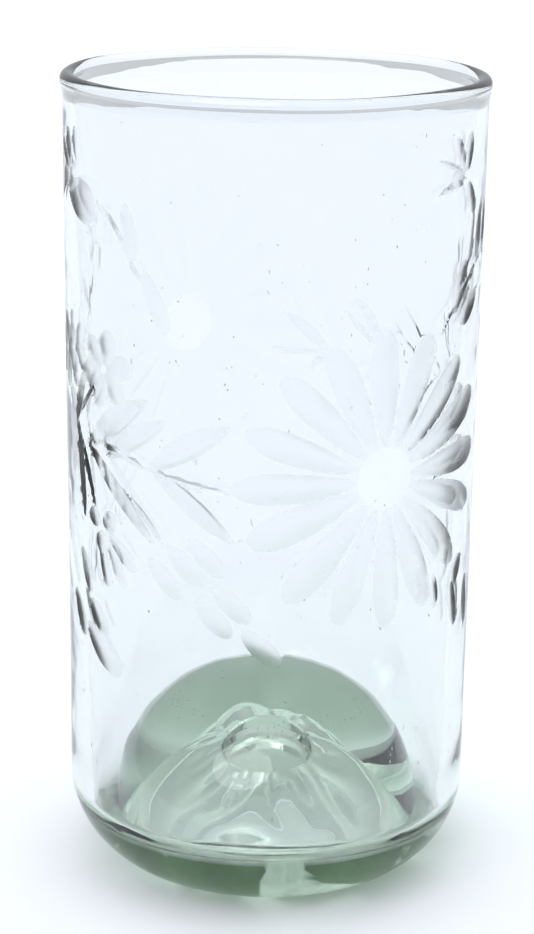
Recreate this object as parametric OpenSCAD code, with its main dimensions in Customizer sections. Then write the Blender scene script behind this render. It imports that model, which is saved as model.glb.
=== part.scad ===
// Hand-blown pint tumbler: a heavy rounded base pushed up into a tall dome inside, a
// slightly flared wall and a fire-polished lip. All dimensions are in millimetres, +Z is up, and
// the origin is the centre of the ring that the glass stands on.

/* [Tumbler] */
// Height from the table to the top of the lip
height = 150; // [130:1:170]
// Outer radius of the wall where the lip begins
wall_top_r = 38.2; // [34:0.1:42]
// Outer radius of the wall just above the rounded heel
wall_bottom_r = 37.4; // [34:0.1:42]
// Thickness of the wall under the lip
wall_top_t = 2.3; // [1.8:0.1:3]
// Thickness of the wall where it meets the base
wall_bottom_t = 3.8; // [3:0.1:5]

/* [Lip] */
// Radius of the fire-polished bead's cross-section
bead_r = 1.45; // [1.3:0.05:1.7]
// How far the bead stands out of the wall
bead_out = 0.5; // [0.2:0.1:0.8]

/* [Base] */
// Height at which the base becomes the wall
base_h = 24; // [22:1:32]
// Radius of the rounded heel
heel_r = 18; // [14:0.5:18.5]
// Height of the narrow trough of the drinking floor, round the dome
floor_z = 12; // [9:0.5:15]
// Radius of the curve between that trough and the wall
floor_fillet_r = 4; // [2:0.5:4.5]
// Height of the glass dome above the trough
dome_h = 25; // [16:0.5:30]
// Radius of the dome where it leaves the trough
dome_r = 29; // [25:0.5:29.5]

/* [Push-up and pontil seal] */
// Radius of the hollow pushed up into the underside
pushup_r = 18.5; // [18:0.1:19]
// Depth of that hollow
pushup_h = 18; // [10:0.5:18]
// Radius of the button of glass left by the pontil iron
seal_r = 6; // [5:0.5:8]
// Thickness of that button at its rim
seal_t = 1.1; // [0.6:0.1:1.6]

/* [Hidden] */
$fn = 128;
STEP_DEG = 6;           // angle between the points of an arc
DOME_STEPS = 30;        // straight runs from the dome's edge to its top
DOME_POWER = 2.4;       // 2 would make the dome an ellipse; more makes its sides steeper
ROOF_STEPS = 10;        // straight runs on each side of the seal's edge
BEAD_LOW_DEG = -35;     // where the bead's arc leaves the wall, below the horizontal

lip_z = height - 2 * bead_r + 0.1;
bead_mid_r = wall_top_r + bead_out - bead_r;
bead_mid_z = height - bead_r;
inner_bottom_r = wall_bottom_r - wall_bottom_t;
floor_r = inner_bottom_r - floor_fillet_r;
dome_edge_r = min(dome_r, floor_r);
ring_r = max(wall_bottom_r - heel_r, pushup_r + 0.3);
foot_heel_r = wall_bottom_r - ring_r;
pushup_sphere_r = (pow(pushup_r, 2) + pow(pushup_h, 2)) / (2 * pushup_h);
pushup_sphere_z = pushup_h - pushup_sphere_r;

// Outer and inner radius of the wall at height z, both straight from base to lip.
function rise(z) = (z - base_h) / (lip_z - base_h);
function wall_r(z) = wall_bottom_r + rise(z) * (wall_top_r - wall_bottom_r);
function wall_t(z) = wall_bottom_t + rise(z) * (wall_top_t - wall_bottom_t);

// Points on a circle of radius r about (x, z), from angle a to angle b.
function arc(x, z, r, a, b) =
    let (steps = ceil(abs(b - a) / STEP_DEG))
    [for (i = [0 : steps]) let (t = a + (b - a) * i / steps) [x + r * cos(t), z + r * sin(t)]];

// Height of the push-up's roof at radius r.
function roof_z(r) = pushup_sphere_z + sqrt(pow(pushup_sphere_r, 2) - pow(r, 2));

// The push-up's roof as points between two radii. The base and the seal share them.
function roof(from_r, to_r, steps) =
    [for (i = [0 : steps]) let (r = from_r + (to_r - from_r) * i / steps) [r, roof_z(r)]];

// The dome on the drinking floor as points from its edge to the middle, close together
// near the edge where it is steepest.
function dome() =
    [for (i = [DOME_STEPS : -1 : 0])
        let (across = sin(90 * i / DOME_STEPS))
        [dome_edge_r * across, floor_z + dome_h * sqrt(1 - pow(across, DOME_POWER))]];

// Fire-polished bead round the mouth.
module lip() {
    color("#dfe9e6")
        rotate_extrude()
            polygon(concat(
                [[wall_top_r - wall_top_t, lip_z], [wall_top_r, lip_z]],
                arc(bead_mid_r, bead_mid_z, bead_r, BEAD_LOW_DEG, 180)
            ));
}

// Blown wall, thinner towards the mouth.
module wall() {
    color("#e6eeee")
        rotate_extrude()
            polygon([
                [wall_r(base_h) - wall_t(base_h), base_h],
                [wall_r(base_h), base_h],
                [wall_r(lip_z), lip_z],
                [wall_r(lip_z) - wall_t(lip_z), lip_z]
            ]);
}

// Heavy base: rounded heel outside, hollow pushed up beneath, and the solid dome that it
// raises in the drinking floor.
module base() {
    color("#a9c4ae")
        rotate_extrude()
            polygon(concat(
                roof(0, seal_r, ROOF_STEPS),
                roof(seal_r + 1, pushup_r, ROOF_STEPS),
                arc(ring_r, foot_heel_r, foot_heel_r, -90, 0),
                [[wall_bottom_r, base_h], [inner_bottom_r, base_h]],
                arc(floor_r, floor_z + floor_fillet_r, floor_fillet_r, 0, -90),
                dome()
            ));
}

// Button of glass left in the push-up where the pontil iron held the tumbler.
module pontil_seal() {
    seal_low_z = roof_z(seal_r) - seal_t;
    color("#9fbda6")
        rotate_extrude()
            polygon(concat(
                roof(0, seal_r, ROOF_STEPS),
                arc(seal_r - seal_t / 2, seal_low_z + seal_t / 2, seal_t / 2, 0, -90),
                [[0, seal_low_z]]
            ));
}

lip();
wall();
base();
pontil_seal();
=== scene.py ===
"""A hand-blown pint tumbler of recycled glass, cut outside with flowers by a stone wheel.

The fused glass is one closed mesh, because light has to pass from the wall into the base and the lip
with nothing between them. Lengths are in millimetres until a mesh is written, and in metres after.
"""
import math

import bmesh
import bpy
import numpy as np
from mathutils import Matrix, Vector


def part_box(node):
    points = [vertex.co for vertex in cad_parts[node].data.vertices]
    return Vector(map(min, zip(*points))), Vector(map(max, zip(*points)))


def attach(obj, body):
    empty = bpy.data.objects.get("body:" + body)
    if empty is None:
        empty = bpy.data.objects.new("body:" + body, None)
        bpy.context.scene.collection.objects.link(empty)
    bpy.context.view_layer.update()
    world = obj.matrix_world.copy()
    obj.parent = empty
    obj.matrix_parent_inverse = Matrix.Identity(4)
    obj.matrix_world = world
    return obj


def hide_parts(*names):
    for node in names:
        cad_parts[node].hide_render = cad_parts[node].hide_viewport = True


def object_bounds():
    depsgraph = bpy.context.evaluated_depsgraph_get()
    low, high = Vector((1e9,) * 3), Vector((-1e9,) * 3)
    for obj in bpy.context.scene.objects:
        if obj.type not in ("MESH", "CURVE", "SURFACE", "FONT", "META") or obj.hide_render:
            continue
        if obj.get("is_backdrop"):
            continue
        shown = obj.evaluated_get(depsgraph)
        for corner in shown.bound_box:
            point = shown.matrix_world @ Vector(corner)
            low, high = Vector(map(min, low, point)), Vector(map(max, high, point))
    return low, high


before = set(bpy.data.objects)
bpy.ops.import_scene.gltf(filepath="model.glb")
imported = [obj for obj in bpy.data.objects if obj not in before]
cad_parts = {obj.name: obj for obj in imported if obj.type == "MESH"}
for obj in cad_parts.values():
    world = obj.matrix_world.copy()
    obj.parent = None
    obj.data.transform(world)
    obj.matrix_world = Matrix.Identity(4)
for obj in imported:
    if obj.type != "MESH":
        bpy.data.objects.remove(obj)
cad_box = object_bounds()

# ---------------------------------------------------------------------------------------------
# The tumbler: wall, lip, base and pontil seal, which are one piece of glass once it has cooled.
# Recycled soda glass, blown in two gathers, fire-polished at the mouth and cracked off the iron
# underneath, then cut outside with petals, leaves and stems on a fine stone wheel.
# ---------------------------------------------------------------------------------------------
MM = 0.001
body_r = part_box("base")[1][0] / MM          # outside of the wall above the heel
mouth_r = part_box("wall")[1][0] / MM         # outside of the wall under the lip
lip_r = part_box("lip")[1][0] / MM            # outside of the lip's bead
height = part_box("lip")[1][2] / MM
base_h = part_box("base")[1][2] / MM
lip_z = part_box("wall")[1][2] / MM
bead_r = 1.45
wall_t = (3.8, 2.3)                         # at the base, and under the lip
heel_r = 18.0
floor_z, floor_fillet_r = 12.0, 4.0         # the trough round the dome inside
dome_h, dome_r, dome_power = 25.0, 29.0, 2.4
pushup_r, pushup_h = 18.5, 18.0             # the hollow under the base
seal_r, seal_t = 6.0, 1.1                   # what the pontil iron left in it
COLUMNS = 192                               # round the glass; the cut band has twice as many
unrolled_r = 38.0                           # the radius at which the outside is unrolled flat
girth = 2 * math.pi * unrolled_r
band_z = (38.0, 143.5)                      # the cuts lie between these heights
BAND_ROWS = 170


def cut(kind, start, end, width, taper, bend, depth):
    """One touch of the wheel between two points, each in (degrees round the glass, height).

    Degrees count from the front, positive to the right. width is the widest part of the cut, taper
    makes its far end wider than its near one, and bend bows it sideways.
    """
    s0, s1 = (p[0] / 360 * girth for p in (start, end))
    run, climb = s1 - s0, end[1] - start[1]
    return (kind, (s0 + s1) / 2, (start[1] + end[1]) / 2, math.atan2(climb, run),
            math.hypot(run, climb) / 2, width / 2, taper, bend, depth)


def around(centre, angle, reach):
    """The point at a distance and direction from a centre, on the unrolled outside."""
    a = math.radians(angle)
    return (centre[0] + reach * math.cos(a) / girth * 360, centre[1] + reach * math.sin(a))


def flower(centre, petals, inner, outer, width, turn, taper, depth, seed):
    """Petals at even angles round a centre, each a little off as a hand leaves it."""
    rng = np.random.RandomState(seed)
    touches = []
    for i in range(petals):
        angle = turn + 360 / petals * i + rng.uniform(-2.2, 2.2)
        reach = outer * rng.uniform(0.95, 1.03)
        touches.append(cut("scoop", around(centre, angle, inner), around(centre, angle, reach),
                           width * rng.uniform(0.92, 1.08), taper, 0, depth))
    return touches


def daisy(centre, turn, seed):
    """The large flower: sixteen long petals round a disc."""
    disc_r = 5.6
    petals = flower(centre, 16, inner=5.2, outer=28.0, width=5.4, turn=turn, taper=0.42, depth=0.62,
                    seed=seed)
    left, right = around(centre, 0, -disc_r), around(centre, 0, disc_r)
    return petals + [cut("disc", left, right, 2 * disc_r, 0, 0, 0.4)]


def floret(centre, outer, width, turn, depth, seed):
    """A small flower: six short petals that meet in the middle."""
    return flower(centre, 6, 0.8, outer, width, turn, 0.15, depth, seed)


def branch(root):
    """A branch of slanting leaves: a stem to the right, leaves above it and long blades below."""
    x, z = root
    return [
        cut("stroke", (x, z + 2), (x + 27, z - 2), 1.5, 0, 0.5, 0.5),
        cut("stroke", (x + 26, z - 1.5), (x + 51, z - 4), 1.5, 0, -0.3, 0.5),
        cut("leaf", (x + 1, z), (x + 25, z + 11), 4.2, 0, -1.6, 0.65),
        cut("leaf", (x + 10, z - 1), (x + 31, z + 8), 3.2, 0, -1.2, 0.55),
        cut("leaf", (x + 26, z - 1), (x + 49, z + 8), 4.0, 0, -1.5, 0.65),
        cut("leaf", (x + 27, z - 15), (x + 1, z), 2.2, 0, -1.3, 0.7),
        cut("stroke", (x + 17, z - 6), (x + 31, z - 15), 1.5, 0, 0.3, 0.45),
        cut("leaf", (x + 50, z - 13), (x + 26, z - 1), 3.0, 0, -1.5, 0.7),
        cut("leaf", (x - 2, z - 14), (x - 6, z + 3), 1.6, 0, -0.6, 0.5),
        cut("stroke", (x - 6, z + 3), (x + 5, z - 13), 1.5, 0, 0.6, 0.45),
        cut("leaf", (x - 7, z + 3), (x - 1, z + 14), 1.8, 0, -0.5, 0.4),
        cut("stroke", (x - 6, z + 4), (x + 6, z + 13), 1.4, 0, -0.4, 0.35),
    ]


def sprig(start):
    """Six oval touches in two rows, running down to the right."""
    x, z = start
    places = ((0, 0), (6, 2.9), (12, 4.9), (19, -3.3), (14, -6.2), (27, -11))
    return [cut("scoop", (x + a, z + b), (x + a + 10.8, z + b - 6.5), 4.0, 0.1, 0, 0.3)
            for a, b in places]


def bud(centre, turn):
    """A bud of four touches on a curved stem. Each touch has a direction, a reach and a width."""
    touches = ((100, 8.5, 2.6), (60, 8.0, 3.0), (160, 5.5, 3.4), (-80, 8.0, 3.2))
    cuts = [cut("scoop", around(centre, turn + a, 0.8), around(centre, turn + a, reach), w, 0.2, 0, 0.3)
            for a, reach, w in touches]
    return cuts + [cut("stroke", around(centre, turn + 175, 10), centre, 1.3, 0, 0.3, 0.3)]


def loose(*rows):
    """Single touches, each with its kind, start, end, width, taper, bend and depth."""
    return [cut(*row) for row in rows]


# The front: the daisy, the branch to its left with a sprig under it, and two florets above.
cuts = daisy((32, 83.7), 1.5, 3) + branch((-60, 86)) + sprig((-34.4, 68.5))
cuts += floret((-51, 100.5), 7.6, 4.6, 15, 0.32, 5) + floret((-76, 101), 7.2, 4.2, 40, 0.32, 6)

# A half-open flower under the branch, and the leaves at its foot.
cuts += flower((-52.4, 71.5), 3, 0.6, 4.8, 3.8, 30, 0.1, 0.4, 8)
cuts += loose(
    ("scoop", (-53.5, 69.5), (-49.4, 60.5), 2.4, 0.3, 0, 0.35),
    ("scoop", (-51, 70), (-42.3, 61.5), 2.6, 0.4, 0, 0.35),
    ("scoop", (-50, 71), (-38.2, 65.4), 3.2, 0.4, 0, 0.35),
    ("scoop", (-61, 52), (-44.6, 44.6), 5.2, 0.1, 0, 0.5),
    ("scoop", (-59, 57), (-50, 51), 4.4, 0.1, 0, 0.45),
    ("scoop", (-70, 57), (-62, 49), 4.0, 0.1, 0, 0.45),
    ("scoop", (-64, 66), (-58, 58), 3.6, 0.1, 0, 0.4),
)

# High on the left: a bud, a broad leaf and a trail that runs down towards the middle.
cuts += bud((-70, 133.5), 40)
cuts += loose(
    ("scoop", (-71, 131), (-54, 128), 7.5, 0.2, 0, 0.5),
    ("stroke", (-53, 130), (-41, 121), 1.2, 0, 1.2, 0.2),
    ("stroke", (-41, 122), (-34, 117), 1.2, 0, -0.6, 0.2),
    ("scoop", (-42, 131), (-39, 121), 3.4, 0.1, 0, 0.2),
    ("scoop", (-36, 120), (-28, 109), 3.6, 0.2, 0, 0.2),
)

# High on the right: a bud on its stalk, with leaves below it.
cuts += bud((61, 134.5), 20)
cuts += loose(
    ("stroke", (46, 138.4), (60, 135), 1.2, 0, 0.3, 0.2),
    ("scoop", (73, 129), (70.5, 118), 3.4, 0.1, 0, 0.4),
    ("scoop", (80, 129), (77, 119), 3.0, 0.1, 0, 0.4),
    ("scoop", (63, 120), (56, 111), 4.2, 0.1, 0, 0.45),
    ("scoop", (72, 113.5), (60, 108.5), 4.2, 0.1, 0, 0.45),
    ("stroke", (74, 120), (49, 106.5), 1.2, 0, -1.0, 0.25),
)

# Leaves low on the right, and blades of grass over the daisy.
cuts += loose(
    ("scoop", (67, 65), (61, 60), 4.0, 0.1, 0, 0.4),
    ("scoop", (59.5, 63), (64.5, 51.5), 3.2, 0.1, 0, 0.4),
    ("scoop", (51, 64), (52.5, 57), 2.6, 0.1, 0, 0.35),
    ("scoop", (72, 60), (74, 50), 3.6, 0.1, 0, 0.4),
    ("leaf", (3.5, 114.5), (14.6, 108), 1.5, 0, -0.3, 0.25),
    ("stroke", (-1.5, 108.4), (13.6, 107.6), 1.1, 0, -0.3, 0.18),
    ("stroke", (9.6, 103.8), (14.6, 106.8), 1.1, 0, 0.7, 0.2),
    ("stroke", (17.5, 115), (28, 107.5), 1.1, 0, 0.3, 0.2),
    ("leaf", (21.5, 116.5), (28.4, 109), 1.3, 0, 0.3, 0.25),
)

# The back: a second daisy and branch, with florets, buds and leaves between them.
cuts += daisy((-152, 96), 11.0, 13) + branch((108, 92)) + sprig((112, 62))
cuts += floret((96, 113), 7.6, 4.6, 50, 0.4, 15) + floret((172, 66), 7.0, 4.2, 10, 0.4, 16)
cuts += floret((-108, 118), 7.4, 4.4, 25, 0.4, 17)
cuts += bud((140, 128), -30) + bud((-120, 66), 60)
cuts += loose(
    ("stroke", (-108, 116), (-92, 96), 1.2, 0, 1.5, 0.25),
    ("leaf", (-100, 104), (-88, 112), 3.0, 0, -0.8, 0.35),
    ("leaf", (-96, 98), (-82, 90), 3.0, 0, -0.8, 0.35),
    ("scoop", (-100, 62), (-92, 52), 4.4, 0.1, 0, 0.4),
    ("scoop", (-92, 64), (-84, 54), 4.0, 0.1, 0, 0.4),
    ("scoop", (88, 72), (94, 62), 4.0, 0.1, 0, 0.4),
)

FAR_OUT = -5.0                              # stands for a point that is nowhere near a cut
NO_KEEL = 9.0                               # and for one that is nowhere near a keel
leaf_lap = 0.8                              # how far a leaf's steep side lies across its keel


def crisp(s):
    """How strongly the wheel bit: fully within 97 degrees of the front, and 0.45 as much behind."""
    near_side, fade = 0.27 * girth, 4.0
    return 1 - 0.55 * np.clip((np.abs(s) - near_side) / fade, 0, 1)


def wheel(s, z):
    """The cuts as a height field over unrolled points: s round the glass and z up it.

    A scoop is an ellipse in plan, wider towards one end, with a depth that falls off as one minus
    the square of the distance from its middle. A stroke has a V section and two pointed ends. A
    leaf is deepest along one edge, where the wheel's rim stood, and slopes up to the other. A disc
    wipes out what was cut under it.

    Returned are the depth, how far inside the nearest satin cut's outline a point lies, the step
    (round, up) from it to the nearest keel, and how far inside a polished disc it lies.
    """
    depth = np.zeros_like(s)
    inside = np.full_like(s, FAR_OUT)
    polished = np.full_like(s, FAR_OUT)
    to_keel = np.full(s.shape + (2,), NO_KEEL)
    for kind, cs, cz, angle, half_l, half_w, taper, bend, deep in cuts:
        ds = (s - cs + girth / 2) % girth - girth / 2
        dz = z - cz
        u = (ds * math.cos(angle) + dz * math.sin(angle)) / half_l
        open_end = np.clip(1 - u * u, 0, 1)
        v = dz * math.cos(angle) - ds * math.sin(angle) - bend * (1 - u * u)
        w = half_w * (1 + taper * np.clip(u, -1.2, 1.2))
        if kind in ("scoop", "disc"):
            q = 1 - u * u - (v / w) ** 2
            d, e = deep * q, q * w / 2
        elif kind == "stroke":
            q = 1 - u * u - np.abs(v) / w
            d, e = deep * q, q * w
        else:
            far = 2 * w * (1 - u * u)
            e = np.minimum(far - v, v + leaf_lap)
            slope = 1 - v / np.maximum(far, 0.05)
            d = deep * np.sqrt(open_end) * np.minimum(slope, (v + leaf_lap) / leaf_lap)
        if kind in ("stroke", "leaf"):
            level = abs(math.cos(angle)) > abs(math.sin(angle))
            keel = np.stack([0 * v, -v / math.cos(angle)] if level else [v / math.sin(angle), 0 * v], -1)
            closer = (np.abs(v) < np.hypot(to_keel[..., 0], to_keel[..., 1])) & (open_end > 0)
            to_keel = np.where(closer[..., None], keel, to_keel)
        if kind == "disc":
            polished = np.maximum(polished, e)
            depth = np.where(q > 0, 0, depth)
        depth = np.maximum(depth, np.clip(d, 0, deep))
        inside = np.maximum(inside, e)
    return depth * crisp(s), np.minimum(inside, -polished), to_keel, polished


def ripple(angle, z, waves, seed):
    """Slow unevenness of blown glass: a sum of sines round and along it, from -1 to 1."""
    rng = np.random.RandomState(seed)
    total = 0
    for _ in range(waves):
        turns = rng.randint(1, 8)
        climb = rng.uniform(-0.12, 0.12)
        start = rng.uniform(0, 2 * math.pi)
        total = total + np.sin(turns * angle + climb * z + start)
    return total / waves


def arc(r, z, radius, start, end, count):
    """Points on a circular arc in the profile plane, in degrees, as (radius, height) rows."""
    a = np.radians(np.linspace(start, end, count))
    return np.stack([r + radius * np.cos(a), z + radius * np.sin(a)], 1)


def line(a, b, count):
    """Points on a straight line in the profile plane, without its last one."""
    return np.linspace(a, b, count + 1)[:-1]


def outer_r(z):
    """Outside radius of the wall: it flares evenly from the base to the lip."""
    return body_r + (mouth_r - body_r) * np.clip((z - base_h) / (lip_z - base_h), 0, 1)


# Below the band: the pontil seal, the push-up round it, the ring it stands on and the heel.
sphere_r = (pushup_r ** 2 + pushup_h ** 2) / (2 * pushup_h)


def roof(r):
    """Height of the hollow's roof: a sphere through its rim and its top."""
    return pushup_h - sphere_r + np.sqrt(sphere_r ** 2 - r ** 2)


pole_r = 0.45                               # the ring next to the axis
soft = 0.4                                  # how far the seal's edge and the hollow's are softened
seal_z = roof(seal_r) - seal_t
under_r = np.linspace(pole_r, seal_r - 0.3, 16)
under = np.stack([under_r, seal_z + 0 * under_r], 1)
pushed_r = np.linspace(seal_r + soft, pushup_r - soft, 12)
pushed = np.stack([pushed_r, roof(pushed_r)], 1)
below = np.concatenate([
    under,
    [[seal_r, seal_z + soft], [seal_r + 0.1, roof(seal_r)]],
    pushed,
    arc(body_r - heel_r, heel_r, heel_r, -90, 0, 26),
    line((body_r, heel_r), (outer_r(band_z[0]), band_z[0]), 10)[1:],
])

# Above it: the bead of the lip, the inside of the wall, the trough of the floor and its dome.
inner_top, inner_low = mouth_r - wall_t[1], body_r - wall_t[0]
across = np.sin(np.radians(np.linspace(90, 1.5, 30)))
above = np.concatenate([
    line((outer_r(band_z[1]), band_z[1]), (mouth_r, lip_z), 3)[1:],
    arc(lip_r - bead_r, height - bead_r, bead_r, -35, 180, 18),
    line((inner_top, lip_z - 0.4), (inner_low, base_h), 30),
    line((inner_low, base_h), (inner_low, floor_z + floor_fillet_r), 2),
    arc(inner_low - floor_fillet_r, floor_z + floor_fillet_r, floor_fillet_r, 0, -90, 10),
    np.stack([dome_r * across, floor_z + dome_h * np.sqrt(1 - across ** dome_power)], 1),
])


def turned(rows, columns):
    """A profile turned round the axis: (rows, columns) grids of angle, radius and height."""
    angle = np.linspace(0, 2 * math.pi, columns, endpoint=False)
    size = (len(rows), columns)
    return tuple(np.broadcast_to(part, size).copy() for part in (angle, rows[:, :1], rows[:, 1:]))


foot_a, foot_r, foot_z = turned(below, COLUMNS)

# Where the iron broke away the seal is chipped: flat flakes, each a plane cut through the button.
FLAKES = 34
foot_x, foot_y = foot_r * np.sin(foot_a), -foot_r * np.cos(foot_a)
chips = np.random.RandomState(11)
flake = np.full_like(foot_r, -9.0)
for _ in range(FLAKES):
    at_x, at_y = chips.uniform(-seal_r, seal_r, 2)
    tilt_x, tilt_y = chips.uniform(-0.6, 0.6, 2)
    plane = (foot_x - at_x) * tilt_x + (foot_y - at_y) * tilt_y + chips.uniform(-0.8, 0.1)
    flake = np.maximum(flake, plane)
on_seal = np.clip((seal_r + soft - foot_r) / 1.2, 0, 1)
foot_z += on_seal * np.clip(0.8 - 0.7 * flake, -0.9, 1.2)

# The hollow was pushed in with a rough tool while the glass was stiff, so its sides are lumpy, and
# the heel is a little uneven from its turning in the block.
in_hollow = np.clip((foot_r - seal_r - soft) / 2, 0, 1) * np.clip((pushup_r - foot_r) / 3, 0, 1)
foot_z += in_hollow * (2.6 * np.abs(ripple(foot_a, 3 * foot_r, 7, 21)) - 0.6)
on_heel = np.clip(foot_r - pushup_r - 1.5, 0, 1) * np.clip((heel_r - foot_z) / heel_r, 0, 1)
foot_r += 0.22 * on_heel * (ripple(2 * foot_a, 4 * foot_z, 6, 61) - 0.6)

# The band that holds the cuts. Its grid points within half a cell of a keel or of an outline move
# onto it, so that keels and outlines come out sharp.
band = np.linspace(*band_z, BAND_ROWS)
side_a, side_r, side_z = turned(np.stack([outer_r(band), band], 1), 2 * COLUMNS)
side_s = (side_a + math.pi) % (2 * math.pi) * unrolled_r - girth / 2
high = (band_z[1] - band_z[0]) / (BAND_ROWS - 1)
wide = girth / (2 * COLUMNS)
depth, inside, to_keel, polished = wheel(side_s, side_z)
on_keel = (np.abs(to_keel[..., 0]) < 0.5 * wide) & (np.abs(to_keel[..., 1]) < 0.5 * high)
on_keel[:2] = on_keel[-2:] = False
slope_z, slope_s = np.gradient(inside, high, wide)
steep = np.abs(slope_z) > np.abs(slope_s)
step_z = np.where(steep, -inside / np.where(steep, slope_z, 1), 0)
step_s = np.where(steep, 0, -inside / np.where(steep | (slope_s == 0), 1, slope_s))
near = (np.abs(step_z) < 0.5 * high) & (np.abs(step_s) < 0.5 * wide)
near &= np.hypot(slope_z, slope_s) > 0.2
near &= np.hypot(to_keel[..., 0], to_keel[..., 1]) > 1.0
near[:2] = near[-2:] = False
side_s = side_s + np.where(on_keel, to_keel[..., 0], np.where(near, step_s, 0))
side_z = side_z + np.where(on_keel, to_keel[..., 1], np.where(near, step_z, 0))
side_a = side_s / unrolled_r
depth, inside, to_keel, polished = wheel(side_s, side_z)
unevenness = 0.05 * ripple(side_a, side_z, 6, 31)
side_r = outer_r(side_z) - depth + unevenness

# The inside waves a little where the blower turned it, and so does the height of the lip.
top_a, top_r, top_z = turned(above, COLUMNS)
under_lip = np.clip((lip_z - 1 - top_z) / 6, 0, 1)
top_r += 0.14 * ripple(top_a, top_z, 8, 41) * np.clip(top_r / 12, 0, 1) * under_lip
at_lip = np.clip((top_z - band_z[1]) / (height - band_z[1]), 0, 1)
top_z += 0.16 * ripple(top_a, 0 * top_a, 5, 51) * at_lip


def placed(angle, r, z):
    """Grid points in metres. Angle 0 is the front, and it grows to the right."""
    return np.stack([r * np.sin(angle), -r * np.cos(angle), z], -1).reshape(-1, 3) * MM


low_pole = [[0, 0, foot_z[0].mean() * MM]]
high_pole = [[0, 0, top_z[-1].mean() * MM]]
points = np.concatenate([
    placed(foot_a, foot_r, foot_z),
    placed(side_a, side_r, side_z),
    placed(top_a, top_r, top_z),
    low_pole,
    high_pole,
])
side_start = foot_a.size
top_start = side_start + side_a.size
low_end, high_end = len(points) - 2, len(points) - 1


def quads(start, rows, columns):
    """Faces of a closed grid, turning so that they face away from the glass."""
    row, column = np.meshgrid(np.arange(rows - 1), np.arange(columns), indexing="ij")
    here, above_it = row * columns, (row + 1) * columns
    next_one = (column + 1) % columns
    corners = (here + column, here + next_one, above_it + next_one, above_it + column)
    return start + np.stack(corners, -1).reshape(-1, 4)


def halves(corners, value):
    """Each quad as two triangles, split along the diagonal whose ends differ less in value."""
    a, b, c, d = corners.T
    first = np.abs(value[a] - value[c]) <= np.abs(value[b] - value[d])
    one = np.where(first, [a, b, c], [a, b, d]).T
    two = np.where(first, [a, c, d], [b, c, d]).T
    return np.concatenate([one, two])


def joint(coarse, fine, upward):
    """Triangles from a ring to one with twice its points."""
    column = np.arange(COLUMNS)
    next_one = (column + 1) % COLUMNS
    f0, f1, f2 = fine + 2 * column, fine + 2 * column + 1, fine + 2 * next_one
    c0, c1 = coarse + column, coarse + next_one
    tris = np.concatenate([np.stack(t, 1) for t in ((c0, f1, f0), (c0, c1, f1), (c1, f2, f1))])
    return tris if upward else tris[:, ::-1]


def fan(ring, pole, upward):
    """Triangles that close a ring at the axis."""
    column = np.arange(COLUMNS)
    tris = np.stack([ring + column, ring + (column + 1) % COLUMNS, 0 * column + pole], 1)
    return tris if upward else tris[:, ::-1]


faces = (
    quads(0, len(below), COLUMNS).tolist()
    + (side_start + halves(quads(0, BAND_ROWS, 2 * COLUMNS), depth.reshape(-1))).tolist()
    + quads(top_start, len(above), COLUMNS).tolist()
    + joint(side_start - COLUMNS, side_start, True).tolist()
    + joint(top_start, top_start - 2 * COLUMNS, False).tolist()
    + fan(0, low_end, False).tolist()
    + fan(low_end - COLUMNS, high_end, True).tolist()
)
mesh = bpy.data.meshes.new("tumbler")
mesh.from_pydata(points.tolist(), [], faces)
mesh.shade_smooth()
mesh.set_sharp_from_angle(angle=math.radians(14))


def mark(name, elsewhere, start, numbers):
    """Give each point of the mesh a number for its material: numbers from start on, else elsewhere."""
    every = np.full(len(points), elsewhere)
    every[start:start + numbers.size] = numbers.reshape(-1)
    mesh.attributes.new(name, "FLOAT", "POINT").data.foreach_set("value", every)


mark("cut_in", FAR_OUT, side_start, inside)
mark("disc_in", FAR_OUT, side_start, polished)
mark("strength", 1.0, side_start, crisp(side_s))
mark("heel", 0.0, 0, np.clip(foot_r - pushup_r, 0, 1))
mark("broken", 0.0, 0, on_seal)

glass = bpy.data.materials.new("recycled_glass")
glass.use_nodes = True
nodes, links = glass.node_tree.nodes, glass.node_tree.links
shader = nodes["Principled BSDF"]
shader.inputs["Transmission Weight"].default_value = 1.0
shader.inputs["IOR"].default_value = 1.51
tint = nodes.new("ShaderNodeVolumeAbsorption")
tint.inputs["Color"].default_value = (0.34, 0.62, 0.37, 1)
tint.inputs["Density"].default_value = 16.0
links.new(tint.outputs["Volume"], nodes["Material Output"].inputs["Volume"])
in_place = nodes.new("ShaderNodeTexCoord").outputs["Object"]
split_up = nodes.new("ShaderNodeSeparateXYZ")
links.new(in_place, split_up.inputs[0])
up = split_up.outputs["Z"]


def marked(name):
    """The number that mark gave each point of the mesh."""
    node = nodes.new("ShaderNodeAttribute")
    node.attribute_name = name
    return node.outputs["Fac"]


def noise(scale, detail, where=in_place, distortion=0.0):
    """Cloudy noise in space, about 0.5 on average. scale counts its lumps in a metre."""
    node = nodes.new("ShaderNodeTexNoise")
    node.inputs["Scale"].default_value = scale
    node.inputs["Detail"].default_value = detail
    node.inputs["Distortion"].default_value = distortion
    links.new(where, node.inputs["Vector"])
    return node.outputs["Fac"]


def ramp(value, start, end, low=0.0, high=1.0):
    """From low to high while the value goes from start to end, and level outside that."""
    node = nodes.new("ShaderNodeMapRange")
    node.inputs["From Min"].default_value = start
    node.inputs["From Max"].default_value = end
    node.inputs["To Min"].default_value = low
    node.inputs["To Max"].default_value = high
    links.new(value, node.inputs["Value"])
    return node.outputs["Result"]


def worked_out(operation, first, second):
    """Two numbers times each other, the larger of them, or their difference."""
    node = nodes.new("ShaderNodeMath")
    node.operation = operation
    links.new(first, node.inputs[0])
    links.new(second, node.inputs[1])
    return node.outputs[0]


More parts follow.
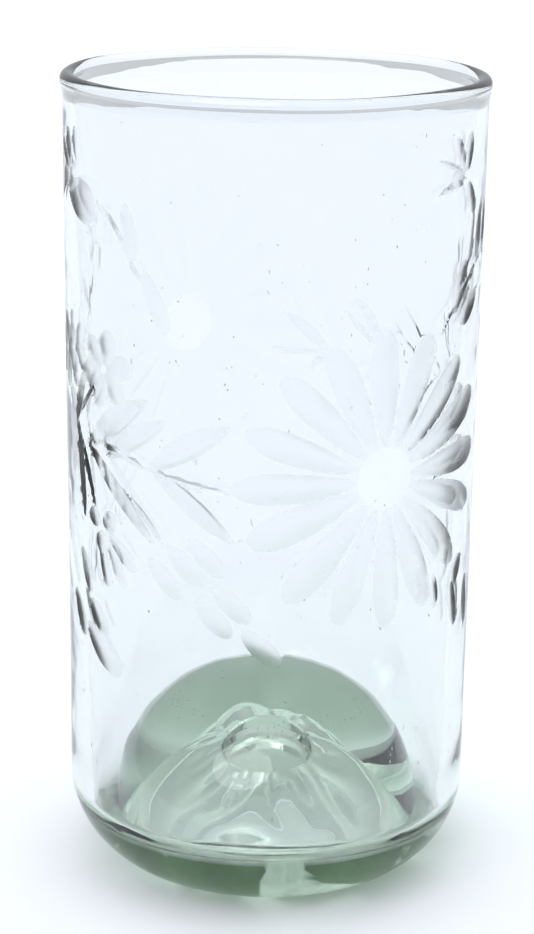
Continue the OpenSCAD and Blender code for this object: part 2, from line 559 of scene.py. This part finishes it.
def blended(share, first, second):
    """A colour on the way from the first to the second, each a colour or the output of a node."""
    node = nodes.new("ShaderNodeMix")
    node.data_type = "RGBA"
    links.new(share, node.inputs["Factor"])
    for name, colour in (("A", first), ("B", second)):
        if isinstance(colour, tuple):
            node.inputs[name].default_value = colour
        else:
            links.new(colour, node.inputs[name])
    return node.outputs["Result"]


# The wheel leaves a satin finish of fine grit in the cuts. The broken seal is a little rough too,
# and so are patches under the heel that a hot plate scuffed.
satin = worked_out("MULTIPLY", ramp(marked("cut_in"), -0.05, 0.08), marked("strength"))
cut_rough = worked_out("MULTIPLY", satin, ramp(noise(2600, 3), 0, 1, 0.22, 0.40))
rough = worked_out("MAXIMUM", cut_rough, ramp(marked("broken"), 0, 1, 0, 0.12))
patches = ramp(noise(110, 5), 0.52, 0.56, 0, 0.22)
scuffed = worked_out("MULTIPLY", patches, ramp(up, 0.009, 0.007))
finish = worked_out("MAXIMUM", rough, scuffed)
links.new(finish, shader.inputs["Roughness"])

# Slow waves of the blown surface, too shallow to model.
skin = nodes.new("ShaderNodeBump")
skin.inputs["Strength"].default_value = 0.25
skin.inputs["Distance"].default_value = 0.0004
links.new(noise(70, 2), skin.inputs["Height"])
links.new(skin.outputs["Normal"], shader.inputs["Normal"])

# The skin of the glass is a little hazy, and the discs are polished clear. The heel carries painted
# shade in patches, dim green to near black, that stands for the shadowed floor under the base seen
# through the heel. The painted shade shows from outside only, so that the dome stays pale behind it.
haze = blended(ramp(marked("disc_in"), -0.05, 0.1), (0.935, 0.94, 0.955, 1), (1, 1, 1, 1))
shade_patch_shift = nodes.new("ShaderNodeMapping")
shade_patch_shift.inputs["Location"].default_value = (0.55, 0.0, 0.0)
links.new(in_place, shade_patch_shift.inputs["Vector"])
# Patches of painted shade on the heel: dim green, and near black where the noise is high.
painted_shade_patches = ramp(noise(55, 6, shade_patch_shift.outputs["Vector"], 0.8), 0.43, 0.48)
heel_painted_shade = blended(painted_shade_patches, (0.40, 0.50, 0.40, 1), (0.010, 0.032, 0.008, 1))
on_the_heel = worked_out("MULTIPLY", ramp(up, 0.0160, 0.0120), marked("heel"))
facing = nodes.new("ShaderNodeNewGeometry")
from_outside = worked_out("SUBTRACT", on_the_heel, facing.outputs["Backfacing"])
from_outside.node.use_clamp = True
links.new(blended(from_outside, haze, heel_painted_shade), shader.inputs["Base Color"])

# Light reaches the table through the glass, so its shadow is pale.
path = nodes.new("ShaderNodeLightPath")
clear = nodes.new("ShaderNodeBsdfTransparent")
clear.inputs["Color"].default_value = (0.91, 0.925, 0.915, 1)
passing = nodes.new("ShaderNodeMixShader")
links.new(path.outputs["Is Shadow Ray"], passing.inputs["Fac"])
links.new(shader.outputs["BSDF"], passing.inputs[1])
links.new(clear.outputs["BSDF"], passing.inputs[2])
links.new(passing.outputs["Shader"], nodes["Material Output"].inputs["Surface"])

tumbler = bpy.data.objects.new("tumbler", mesh)
bpy.context.collection.objects.link(tumbler)
mesh.materials.append(glass)
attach(tumbler, "root")
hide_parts("wall", "lip", "base", "pontil_seal")

# ---------------------------------------------------------------------------------------------
# Seeds: the small bubbles that recycled glass holds. They are air inside the wall and the base,
# drawn out a little by the blowing, most of them along the height of the glass.
# ---------------------------------------------------------------------------------------------
rng = np.random.RandomState(5)
SEEDS = 530
seed_angle = rng.uniform(0, 2 * math.pi, SEEDS)
seed_z = rng.uniform(16, 144, SEEDS)
seed_r = outer_r(seed_z) - rng.uniform(0.9, 1.8, SEEDS)

# Some of them lie in a ring just under the top of the dome, where the two gathers met.
RINGED = 110
ring_seed_r = rng.normal(17.5, 0.8, RINGED)
seed_r[:RINGED] = ring_seed_r
seed_z[:RINGED] = floor_z + dome_h * np.sqrt(1 - (ring_seed_r / dome_r) ** dome_power)
seed_z[:RINGED] -= rng.uniform(1, 2.5, RINGED)
seed_size = 0.07 + 0.1 * rng.uniform(0, 1, SEEDS) ** 3
seed_size[:RINGED] *= 1.8
stretched = rng.uniform(0, 1, SEEDS) < 0.06
seed_draw = np.where(stretched, rng.uniform(4, 8, SEEDS), rng.uniform(1, 2.2, SEEDS))
seed_lean = rng.normal(0, 0.35, SEEDS)

# Each is a ball of a few faces, drawn out along its length and leaning a little.
AROUND, RINGS = 8, 6
turns, rings = np.meshgrid(np.linspace(0, 2 * math.pi, AROUND, endpoint=False),
                           np.radians([90, 50, 18, -18, -50, -90]), indexing="ij")
ball = np.stack([np.cos(rings) * np.cos(turns), np.cos(rings) * np.sin(turns), np.sin(rings)], -1)
ball = ball[None] * seed_size[:, None, None, None]
along = ball[..., 2] * seed_draw[:, None, None]
lean = seed_lean[:, None, None]
sideways = ball[..., 0] * np.cos(lean) + along * np.sin(lean)
upwards = along * np.cos(lean) - ball[..., 0] * np.sin(lean)
seed_a = seed_angle[:, None, None] + sideways / seed_r[:, None, None]
seed_points = placed(seed_a, seed_r[:, None, None] + ball[..., 1], seed_z[:, None, None] + upwards)
side, ring = np.meshgrid(np.arange(AROUND), np.arange(RINGS - 1), indexing="ij")
here, next_side = side * RINGS + ring, (side + 1) % AROUND * RINGS + ring
patch = np.stack([here, here + 1, next_side + 1, next_side], -1).reshape(-1, 4)
seed_faces = (patch[None] + AROUND * RINGS * np.arange(SEEDS)[:, None, None]).reshape(-1, 4)
seed_mesh = bpy.data.meshes.new("seeds")
seed_mesh.from_pydata(seed_points.tolist(), [], seed_faces.tolist())
work = bmesh.new()
work.from_mesh(seed_mesh)
bmesh.ops.remove_doubles(work, verts=work.verts, dist=1e-7)
bmesh.ops.recalc_face_normals(work, faces=work.faces)
work.to_mesh(seed_mesh)
work.free()
seed_mesh.shade_smooth()
air = bpy.data.materials.new("trapped_air")
air.use_nodes = True
air_nodes = air.node_tree.nodes
air_nodes.remove(air_nodes["Principled BSDF"])
air_skin = air_nodes.new("ShaderNodeBsdfGlass")
air_skin.inputs["IOR"].default_value = 0.66
air_skin.inputs["Roughness"].default_value = 0.0
air.node_tree.links.new(air_skin.outputs[0], air_nodes["Material Output"].inputs["Surface"])
seed_mesh.materials.append(air)
seeds = bpy.data.objects.new("seeds", seed_mesh)
bpy.context.collection.objects.link(seeds)
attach(seeds, "root")

# ---------------------------------------------------------------------------------------------
# The stage: a pale floor that runs out of sight, white light from all round and one soft lamp.
# ---------------------------------------------------------------------------------------------
floor_mesh = bpy.data.meshes.new("floor")
reach = 3.0
floor_mesh.from_pydata([(-reach, -reach, 0), (reach, -reach, 0), (reach, reach, 0), (-reach, reach, 0)],
                       [], [(0, 1, 2, 3)])
floor = bpy.data.objects.new("floor", floor_mesh)
bpy.context.collection.objects.link(floor)
floor.location.z = -0.0002
paper = bpy.data.materials.new("paper")
paper.use_nodes = True
matt = paper.node_tree.nodes["Principled BSDF"]
matt.inputs["Base Color"].default_value = (0.865, 0.88, 0.93, 1)
matt.inputs["Roughness"].default_value = 0.9
matt.inputs["Specular IOR Level"].default_value = 0.1
floor_mesh.materials.append(paper)
floor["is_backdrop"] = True

# The strength of the light from a direction is 0.36 level with the glass, 0.30 more behind it and
# as much less in front, plus 1.15 times the square of how far up the direction points.
world = bpy.data.worlds.new("studio")
bpy.context.scene.world = world
world.use_nodes = True
sky, wires = world.node_tree.nodes, world.node_tree.links
sky["Background"].inputs["Color"].default_value = (0.94, 0.97, 1, 1)
towards = sky.new("ShaderNodeTexCoord")
split = sky.new("ShaderNodeSeparateXYZ")
wires.new(towards.outputs["Generated"], split.inputs[0])
level_light = sky.new("ShaderNodeMath")
level_light.operation = "MULTIPLY_ADD"
level_light.inputs[1].default_value = 0.30
level_light.inputs[2].default_value = 0.36
wires.new(split.outputs["Y"], level_light.inputs[0])
lift = sky.new("ShaderNodeMath")
lift.operation = "POWER"
lift.use_clamp = True
lift.inputs[1].default_value = 2.0
wires.new(split.outputs["Z"], lift.inputs[0])
glow = sky.new("ShaderNodeMath")
glow.operation = "MULTIPLY_ADD"
glow.inputs[1].default_value = 1.15
wires.new(lift.outputs[0], glow.inputs[0])
wires.new(level_light.outputs[0], glow.inputs[2])
wires.new(glow.outputs[0], sky["Background"].inputs["Strength"])

key_data = bpy.data.lights.new("key", "SUN")
key_data.energy = 1.5
key_data.angle = math.radians(40)
key = bpy.data.objects.new("key", key_data)
bpy.context.collection.objects.link(key)
key.rotation_euler = (math.radians(42), 0, math.radians(-25))

# The camera stands about three heights away and looks down by 15.8 degrees.
camera_data = bpy.data.cameras.new("camera")
camera_data.lens = 98.7
camera_data.sensor_width = 36
camera = bpy.data.objects.new("camera", camera_data)
bpy.context.collection.objects.link(camera)
camera.location = (0, -3.061 * height * MM, 1.376 * height * MM)
pitch, roll, yaw = math.radians(90 - 15.8), math.radians(0.81), math.radians(0.08)
camera.rotation_mode = "QUATERNION"
turn = Matrix.Rotation(yaw, 4, "Z") @ Matrix.Rotation(pitch, 4, "X") @ Matrix.Rotation(roll, 4, "Z")
camera.rotation_quaternion = turn.to_quaternion()
bpy.context.scene.camera = camera
bpy.context.scene.view_settings.view_transform = "Standard"

# Both boxes are kept as plain lists of numbers, so that the visible shape can be held against the CAD
# one.
plain = {"cad": cad_box, "visual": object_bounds()}
plain = {name: [[float(x) for x in corner] for corner in box] for name, box in plain.items()}
